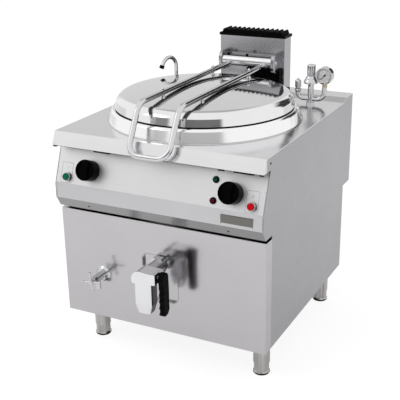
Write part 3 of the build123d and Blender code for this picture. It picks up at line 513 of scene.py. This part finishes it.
def panelOutlines(bm):
    for x, along, halfWide, halfHigh in printSet["frames"].values():
        ribbon(bm, roundedOutline(halfWide, halfHigh, printSet["corner"]), printSet["line"],
               printSet["thick"], fasciaMatrix(x, along), True)


def panelSigns(bm):
    line, thick, reach = (printSet[k] for k in ("line", "thick", "signReach"))
    ribbon(bm, arcPoints(reach, *printSet["ring"]), line, thick,
           fasciaMatrix(printSet["ringX"], printSet["signAlong"]), True)
    ribbon(bm, ((0, -reach), (0, reach)), line * printSet["barWide"], thick,
           fasciaMatrix(printSet["barX"], printSet["signAlong"]))


def knobTicks(bm):
    wide = printSet["line"] * printSet["tickWide"]
    for x, along, turns in printSet["knobs"].values():
        for turn in turns:
            c, d = math.cos(math.radians(turn)), math.sin(math.radians(turn))
            ends = [(reach * c, reach * d) for reach in (printSet["tickStart"], printSet["tickEnd"])]
            ribbon(bm, ends, wide, printSet["thick"], fasciaMatrix(x, along))


addPiece("panelOutlines", panelOutlines, "cabinet", "darkLine", False)
addPiece("panelSigns", panelSigns, "cabinet", "darkLine", False)
addPiece("knobTicks", knobTicks, "cabinet", "darkLine", False)

# dark gaps beside the control panel and round the drain's recessed plate
gapSet = {"x": 0.3971, "wide": 0.0011, "thick": 0.00015, "slope": (0.001, 0.1435), "bandLow": 0.6115,
          "plateHalf": (0.0704, 0.0874), "plateCorner": 0.022, "cornerSteps": 8,
          "plateMid": (0, -0.3671, 0.356)}


def panelGaps(bm):
    low, high = gapSet["slope"]
    wide, thick, bandLow = gapSet["wide"], gapSet["thick"], gapSet["bandLow"]
    for x in (-gapSet["x"], gapSet["x"]):
        ribbon(bm, ((0, low), (0, high)), wide, thick, fasciaMatrix(x, 0))
        ribbon(bm, ((0, 0), (0, fascia["kneeZ"] - bandLow)), wide, thick, bandMatrix(x, bandLow))


def plateGap(bm):
    outline = roundedOutline(*gapSet["plateHalf"], gapSet["plateCorner"], gapSet["cornerSteps"])
    ribbon(bm, outline, gapSet["wide"], gapSet["thick"], axisMatrix(gapSet["plateMid"], (0, -1, 0)), True)


addPiece("panelGaps", panelGaps, "cabinet", "darkLine", False)
addPiece("plateGap", plateGap, "cabinet", "darkLine", False)

# bare plate on the band, with a raised edge: inset and height from the back to the middle
plateSet = {"x": 0.306, "z": 0.631, "halfWide": 0.0575, "halfHigh": 0.0195, "corner": 0.003,
            "layers": ((0, -0.0006), (0, 0.0008), (0.0006, 0.0014), (0.002, 0.0014), (0.0025, 0.001))}


def nameplate(bm):
    platePrism(bm, plateSet["halfWide"], plateSet["halfHigh"], plateSet["corner"], plateSet["layers"],
               bandMatrix(plateSet["x"], plateSet["z"]))


addPiece("nameplate", nameplate, "cabinet", "plateGrey", False)

# painted shadow: a dark strip below the worktop's front edge, deeper over a few stretches and at the ends
lipShadowSet = {"front": -0.3935, "deepFront": -0.3937, "back": -0.384, "top": 0.8042, "low": 0.8021,
           "deep": 0.7980, "end": 0.3965, "round": 0.0002,
           "deepParts": ((-0.231, -0.165), (0.241, 0.262), (0.296, 0.366), (0.384, 0.3975),
                         (-0.3975, -0.384))}


def boxBetween(bm, low, high):
    corners = [bm.verts.new((x, y, z)) for z in (low[2], high[2])
               for x, y in ((low[0], low[1]), (high[0], low[1]), (high[0], high[1]), (low[0], high[1]))]
    joinRings(bm, [corners[:4], corners[4:]], False)


def lipSeal(bm):
    back, top = lipShadowSet["back"], lipShadowSet["top"]
    boxBetween(bm, (-lipShadowSet["end"], lipShadowSet["front"], lipShadowSet["low"]), (lipShadowSet["end"], back, top))
    for start, stop in lipShadowSet["deepParts"]:
        boxBetween(bm, (start, lipShadowSet["deepFront"], lipShadowSet["deep"]), (stop, back, top))
    bmesh.ops.bevel(bm, geom=list(bm.edges), offset=lipShadowSet["round"], segments=2, affect="EDGES")


addPiece("lipSeal", lipSeal, "cabinet", "rubberAndPaintedShade", False)

bothSides = (-1, 1)
# holes in the safety valve's cone: its middle, the reach from it, the outward rise, turns in radians
holeSet = {"x": 0.289, "y": 0.325, "z": 0.9493, "reach": 0.0215, "rise": 0.58, "turns": (-0.15, 0.85)}


def onCone(t):
    # the place and outward direction of a hole, t radians round the cone from the front
    x, y = math.sin(t), -math.cos(t)
    spot = (holeSet["x"] + holeSet["reach"] * x, holeSet["y"] + holeSet["reach"] * y, holeSet["z"])
    return spot, (x, y, holeSet["rise"])


# screws, plugs and holes: head radius and height, then the places with their outward directions
screwSet = {
    "sideScrews": ("plateSteel", ((0.0038, 0.0016, [((s * 0.4, y, z), (s, 0, 0)) for s in bothSides
                                                    for y, z in ((-0.335, 0.749), (-0.370, 0.638))]),)),
    "rearScrews": ("plateSteel", ((0.0042, 0.002, [((s * 0.375, 0.505, z), (0, 1, 0)) for s in bothSides
                                                   for z in (0.52, 0.65, 0.78)]),
                                  (0.0042, 0.002, [((s * 0.375, 0.429, z), (0, 1, 0)) for s in bothSides
                                                   for z in (0.18, 0.33, 0.47)]))),
    "panelPlugs": ("rubberAndPaintedShade", ((0.0042, 0.0008, [((s * 0.4, -0.340, 0.8266), (s, 0, 0))
                                                   for s in bothSides]),
                                 (0.0034, 0.0008, [((s * 0.271, -0.3817, 0.588), (0, -0.866, -0.5))
                                                   for s in bothSides]))),
    "coneHoles": ("rubberAndPaintedShade", ((0.0021, 0.0003, [onCone(t) for t in holeSet["turns"]]),)),
}


def addScrews(name, finish, groups):
    def heads(bm):
        for radius, height, places in groups:
            for spot, out in places:
                screwHead(bm, axisMatrix(spot, out), radius, height)
    addPiece(name, heads, "cabinet", finish)


for name, (finish, groups) in screwSet.items():
    addScrews(name, finish, groups)

# beads: the rim's profile, and where the lid's tubes meet the hinge barrel
beadSet = {"rim": ((0.3522, 0.8495), (0.3562, 0.8495), (0.3555, 0.8508), (0.3538, 0.8522),
                   (0.3522, 0.8538)),
           "rimSteps": 120, "tubeX": 0.076, "tubeZ": 0.972, "tubeR": 0.0101,
           "barrelY": 0.390, "barrelZ": 0.9795, "barrelR": 0.0221, "size": 0.0014, "parts": 28}


def rimBead(bm):
    lathe(bm, beadSet["rim"], Matrix(), beadSet["rimSteps"], True)


def barrelBeads(bm):
    for x in (-beadSet["tubeX"], beadSet["tubeX"]):
        path = []
        for k in range(beadSet["parts"]):
            t = 2 * math.pi * k / beadSet["parts"]
            z = beadSet["tubeZ"] + beadSet["tubeR"] * math.sin(t)
            reach = math.sqrt(beadSet["barrelR"] ** 2 - (z - beadSet["barrelZ"]) ** 2)
            path.append((x + beadSet["tubeR"] * math.cos(t), beadSet["barrelY"] - reach, z))
        rod(bm, path, beadSet["size"], True)


addPiece("rimBead", rimBead, "cabinet", "plateSteel")
addPiece("barrelBeads", barrelBeads, "lid", "plateSteel")

# the lid's seal, hung inside its lower edge
gasketSet = {"inside": 0.3160, "outside": 0.3235, "low": 0.8969, "high": 0.9055, "steps": 120}


def lidSeal(bm):
    inside, outside, low, high = (gasketSet[k] for k in ("inside", "outside", "low", "high"))
    lathe(bm, ((inside, low), (outside, low), (outside, high), (inside, high)), Matrix(),
          gasketSet["steps"], True)


addPiece("lidSeal", lidSeal, "lid", "rubberAndPaintedShade", False)

# marks on the gauge's dial; limit: radius, first and last turn, steps of the red arc
dialSet = {"mid": (0.343, 0.3204, 0.9647), "start": 225, "sweep": 270, "marks": 20, "longEvery": 4,
           "thick": 0.0001, "outer": 0.024, "shortInner": 0.0215, "longInner": 0.0195,
           "shortWide": 0.0005, "longWide": 0.0009, "arc": 0.0242, "arcWide": 0.0005, "arcSteps": 54,
           "limit": (0.0254, 40, -45, 20), "limitWide": 0.0016,
           "numbers": 5, "numberSize": 0.0052, "numberRadius": 0.0155, "numberThick": 0.00005,
           "numberLift": 0.00012}


def dialPlace():
    return axisMatrix(dialSet["mid"], (0, -1, 0))


def dialMarks(bm):
    start, sweep, place = dialSet["start"], dialSet["sweep"], dialPlace()
    for k in range(dialSet["marks"] + 1):
        t = math.radians(start - sweep * k / dialSet["marks"])
        size = "long" if k % dialSet["longEvery"] == 0 else "short"
        ends = [(reach * math.cos(t), reach * math.sin(t))
                for reach in (dialSet[size + "Inner"], dialSet["outer"])]
        ribbon(bm, ends, dialSet[size + "Wide"], dialSet["thick"], place)
    ribbon(bm, arcPoints(dialSet["arc"], start, start - sweep, dialSet["arcSteps"]), dialSet["arcWide"],
           dialSet["thick"], place)


def dialLimit(bm):
    ribbon(bm, arcPoints(*dialSet["limit"]), dialSet["limitWide"], dialSet["thick"], dialPlace())


def addDialNumber(k):
    t = math.radians(dialSet["start"] - dialSet["sweep"] * k / dialSet["numbers"])
    figure = bpy.data.curves.new(f"figure{k}", "FONT")
    figure.body = str(k)
    figure.size = dialSet["numberSize"]
    figure.extrude = dialSet["numberThick"]
    figure.align_x = "CENTER"
    figure.align_y = "CENTER"
    shaped = bpy.data.objects.new(f"figure{k}", figure)
    mesh = bpy.data.meshes.new_from_object(shaped)
    bpy.data.objects.remove(shaped)
    reach = dialSet["numberRadius"]
    spot = Matrix.Translation((reach * math.cos(t), reach * math.sin(t), dialSet["numberLift"]))
    mesh.transform(dialPlace() @ spot)
    mesh.name = f"dialNumber{k}"
    mesh.materials.clear()
    newObject(mesh.name, mesh, "cabinet", "blackPaint", False)


addPiece("dialMarks", dialMarks, "cabinet", "blackPaint", False)
addPiece("dialLimit", dialLimit, "cabinet", "redCap", False)
for k in range(dialSet["numbers"] + 1):
    addDialNumber(k)

# level lines on the vessel's wall, every other one longer: turns in degrees
levelSet = {"wall": 0.2997, "heights": (0.52, 0.60, 0.68, 0.76, 0.84), "from": 60, "to": 72, "longer": 6,
            "size": 0.0007, "parts": 12}


def levelLines(bm):
    for k, z in enumerate(levelSet["heights"]):
        reach = levelSet["to"] + (levelSet["longer"] if k % 2 else 0)
        arc = arcPoints(levelSet["wall"], levelSet["from"], reach, levelSet["parts"])
        rod(bm, [(x, y, z) for x, y in arc], levelSet["size"])


addPiece("levelLines", levelLines, "cabinet", "darkLine")

# folded seams of the flue
seamSet = {"x": 0.1381, "front": 0.4292, "low": 0.863, "high": 1.0700, "wide": 0.0007, "thick": 0.0002}


def flueSeams(bm):
    for side in bothSides:
        place = axisMatrix((side * seamSet["x"], 0, 0), (side, 0, 0))
        where = place.inverted() @ Vector((side * seamSet["x"], seamSet["front"], 0))
        ribbon(bm, ((where.x, seamSet["low"]), (where.x, seamSet["high"])), seamSet["wide"],
               seamSet["thick"], place)


addPiece("flueSeams", flueSeams, "cabinet", "darkLine", False)
print("added pieces made")

# camera: degrees from the front and above the floor, lens in millimetres
viewSet = {"azimuth": 27.128, "elevation": 20.827, "roll": -0.953,
           "place": (1.36405, -2.71366, 1.67891), "lens": 77.125, "sensor": 36, "farthest": 60}


def addCamera():
    a, e, r = (math.radians(viewSet[k]) for k in ("azimuth", "elevation", "roll"))
    back = Vector((math.sin(a) * math.cos(e), -math.cos(a) * math.cos(e), math.sin(e)))
    right = Vector((math.cos(a), math.sin(a), 0))
    up = back.cross(right)
    turnedRight = right * math.cos(r) + up * math.sin(r)
    turnedUp = up * math.cos(r) - right * math.sin(r)
    lens = bpy.data.cameras.new("mainCamera")
    lens.lens = viewSet["lens"]
    lens.sensor_width = viewSet["sensor"]
    lens.clip_end = viewSet["farthest"]
    camera = bpy.data.objects.new("mainCamera", lens)
    camera.matrix_world = frameMatrix(turnedRight, turnedUp, back, viewSet["place"])
    bpy.context.scene.collection.objects.link(camera)
    bpy.context.scene.camera = camera


lightSet = {
    "skyStrength": 0.8,
    # place, target, size and power
    "lamps": {"keyLamp": ((-1.6, -3.4, 4.2), (0, 0, 0.7), 2.2, 90),
              "topLamp": ((0.0, 1.2, 5.0), (0, 0, 0.8), 4.0, 10)},
    # cards round the object, seen only in what is glossy: first and last azimuth, soft edge
    # (degrees), then elevation and brightness from the lowest row up
    "cards": {
        "frontLeft": (-40, -15, 5, ((-5, 1.0), (-1, 0.24), (9, 0.28), (13, 0.5), (17, 0.65), (20, 1.0))),
        "frontRight": (-11, 49, 5, ((-5, 1.0), (-1, 0.12), (10, 0.14), (14, 0.4), (20, 0.5), (25, 1.0))),
        "rearRight": (143, 177, 5, ((0, 1.0), (5, 0.05), (30, 0.05), (38, 1.0))),
        "rearLeft": (178, 236, 8, ((-4, 1.0), (0, 0.74), (36, 0.70), (46, 0.48), (60, 0.5), (70, 1.0))),
        "frontTop": (-68, -33, 6, ((24, 1.0), (30, 2.0), (50, 2.0), (56, 1.0))),
    },
    "cardReach": 6.0, "cardCentre": 0.9, "cardColumns": 14,
    "floorReach": 30, "floorDrop": 0.0005, "floorRough": 0.9, "floorTone": 0.86,
    "floorGlow": 1.1, "glowShare": 0.8, "floorMirrored": 0.35,
}


def placeOnStage(name, data):
    obj = bpy.data.objects.new(name, data)
    bpy.context.scene.collection.objects.link(obj)
    return obj


def plainMaterial(name, color):
    # a matt material; gives it with its node tree and shader
    material = bpy.data.materials.new(name)
    material.use_nodes = True
    shader = material.node_tree.nodes["Principled BSDF"]
    shader.inputs["Base Color"].default_value = (color, color, color, 1)
    shader.inputs["Specular IOR Level"].default_value = 0.0
    return material, material.node_tree, shader


def seenDirectly(tree, mirrored):
    # 1 to the camera and through glass, mirrored in what is glossy
    path = tree.nodes.new("ShaderNodeLightPath")
    gloss = mathNode(tree, "MULTIPLY", path.outputs["Is Glossy Ray"], mirrored)
    camOrGloss = mathNode(tree, "MAXIMUM", path.outputs["Is Camera Ray"], gloss)
    return mathNode(tree, "MAXIMUM", camOrGloss, path.outputs["Is Transmission Ray"])


def addWorld():
    world = bpy.data.worlds.new("studioWorld")
    world.use_nodes = True
    tree = world.node_tree
    sky = tree.nodes["Background"]
    sky.inputs["Color"].default_value = (1, 1, 1, 1)
    gain = mathNode(tree, "MULTIPLY_ADD", seenDirectly(tree, 1.0), 1 - lightSet["skyStrength"],
                    lightSet["skyStrength"])
    tree.links.new(gain, sky.inputs["Strength"])
    bpy.context.scene.world = world


def addLamps():
    for name, (place, target, size, power) in lightSet["lamps"].items():
        lamp = bpy.data.lights.new(name, "AREA")
        lamp.shape = "DISK"
        lamp.size = size
        lamp.energy = power
        obj = placeOnStage(name, lamp)
        obj.location = place
        obj.rotation_euler = (Vector(target) - Vector(place)).to_track_quat("-Z", "Y").to_euler()
        obj.visible_glossy = False


def addFloor():
    reach, drop = lightSet["floorReach"], lightSet["floorDrop"]
    mesh = meshFrom("studioFloor", lambda bm: bm.faces.new(
        [bm.verts.new((x * reach, y * reach, -drop)) for x, y in ((-1, -1), (1, -1), (1, 1), (-1, 1))]))
    material, tree, shader = plainMaterial("studioFloor", lightSet["floorTone"])
    shader.inputs["Roughness"].default_value = lightSet["floorRough"]
    glow = tree.nodes.new("ShaderNodeEmission")
    glow.inputs["Strength"].default_value = lightSet["floorGlow"]
    mix = tree.nodes.new("ShaderNodeMixShader")
    seen = seenDirectly(tree, lightSet["floorMirrored"])
    tree.links.new(mathNode(tree, "MULTIPLY", seen, lightSet["glowShare"]), mix.inputs[0])
    tree.links.new(shader.outputs[0], mix.inputs[1])
    tree.links.new(glow.outputs[0], mix.inputs[2])
    tree.links.new(mix.outputs[0], tree.nodes["Material Output"].inputs["Surface"])
    mesh.materials.append(material)
    placeOnStage("studioFloor", mesh)


def cardMesh(name, first, last, soft, rows):
    # part of a wall round the object, with its brightness kept at its vertices
    reach, columns = lightSet["cardReach"], lightSet["cardColumns"]
    inner = [first + soft + (last - first - 2 * soft) * k / columns for k in range(columns + 1)]
    turns = [first] + inner + [last]
    bm = bmesh.new()
    layer = bm.verts.layers.float_color.new("glow")
    grid = []
    for tip, glow in rows:
        height = lightSet["cardCentre"] + reach * math.tan(math.radians(tip))
        line = []
        for turn in turns:
            t = math.radians(turn)
            vert = bm.verts.new((reach * math.sin(t), -reach * math.cos(t), height))
            strength = 1.0 if turn in (first, last) else glow
            vert[layer] = (strength, strength, strength, 1)
            line.append(vert)
        grid.append(line)
    for lower, upper in zip(grid, grid[1:]):
        for k in range(len(turns) - 1):
            bm.faces.new((lower[k], lower[k + 1], upper[k + 1], upper[k]))
    mesh = bpy.data.meshes.new(name)
    bm.to_mesh(mesh)
    bm.free()
    return mesh


def addCards():
    material, tree, shader = plainMaterial("studioCard", 0)
    shader.inputs["Emission Strength"].default_value = 1.0
    shade = tree.nodes.new("ShaderNodeAttribute")
    shade.attribute_name = "glow"
    tree.links.new(shade.outputs["Color"], shader.inputs["Emission Color"])
    for name, (first, last, soft, rows) in lightSet["cards"].items():
        mesh = cardMesh(name, first, last, soft, rows)
        mesh.materials.append(material)
        obj = placeOnStage(name, mesh)
        obj.visible_camera = obj.visible_diffuse = obj.visible_shadow = False


addCamera()
addWorld()
addLamps()
addCards()
addFloor()
bpy.context.scene.view_settings.view_transform = "Standard"
print("camera, light and floor ready")
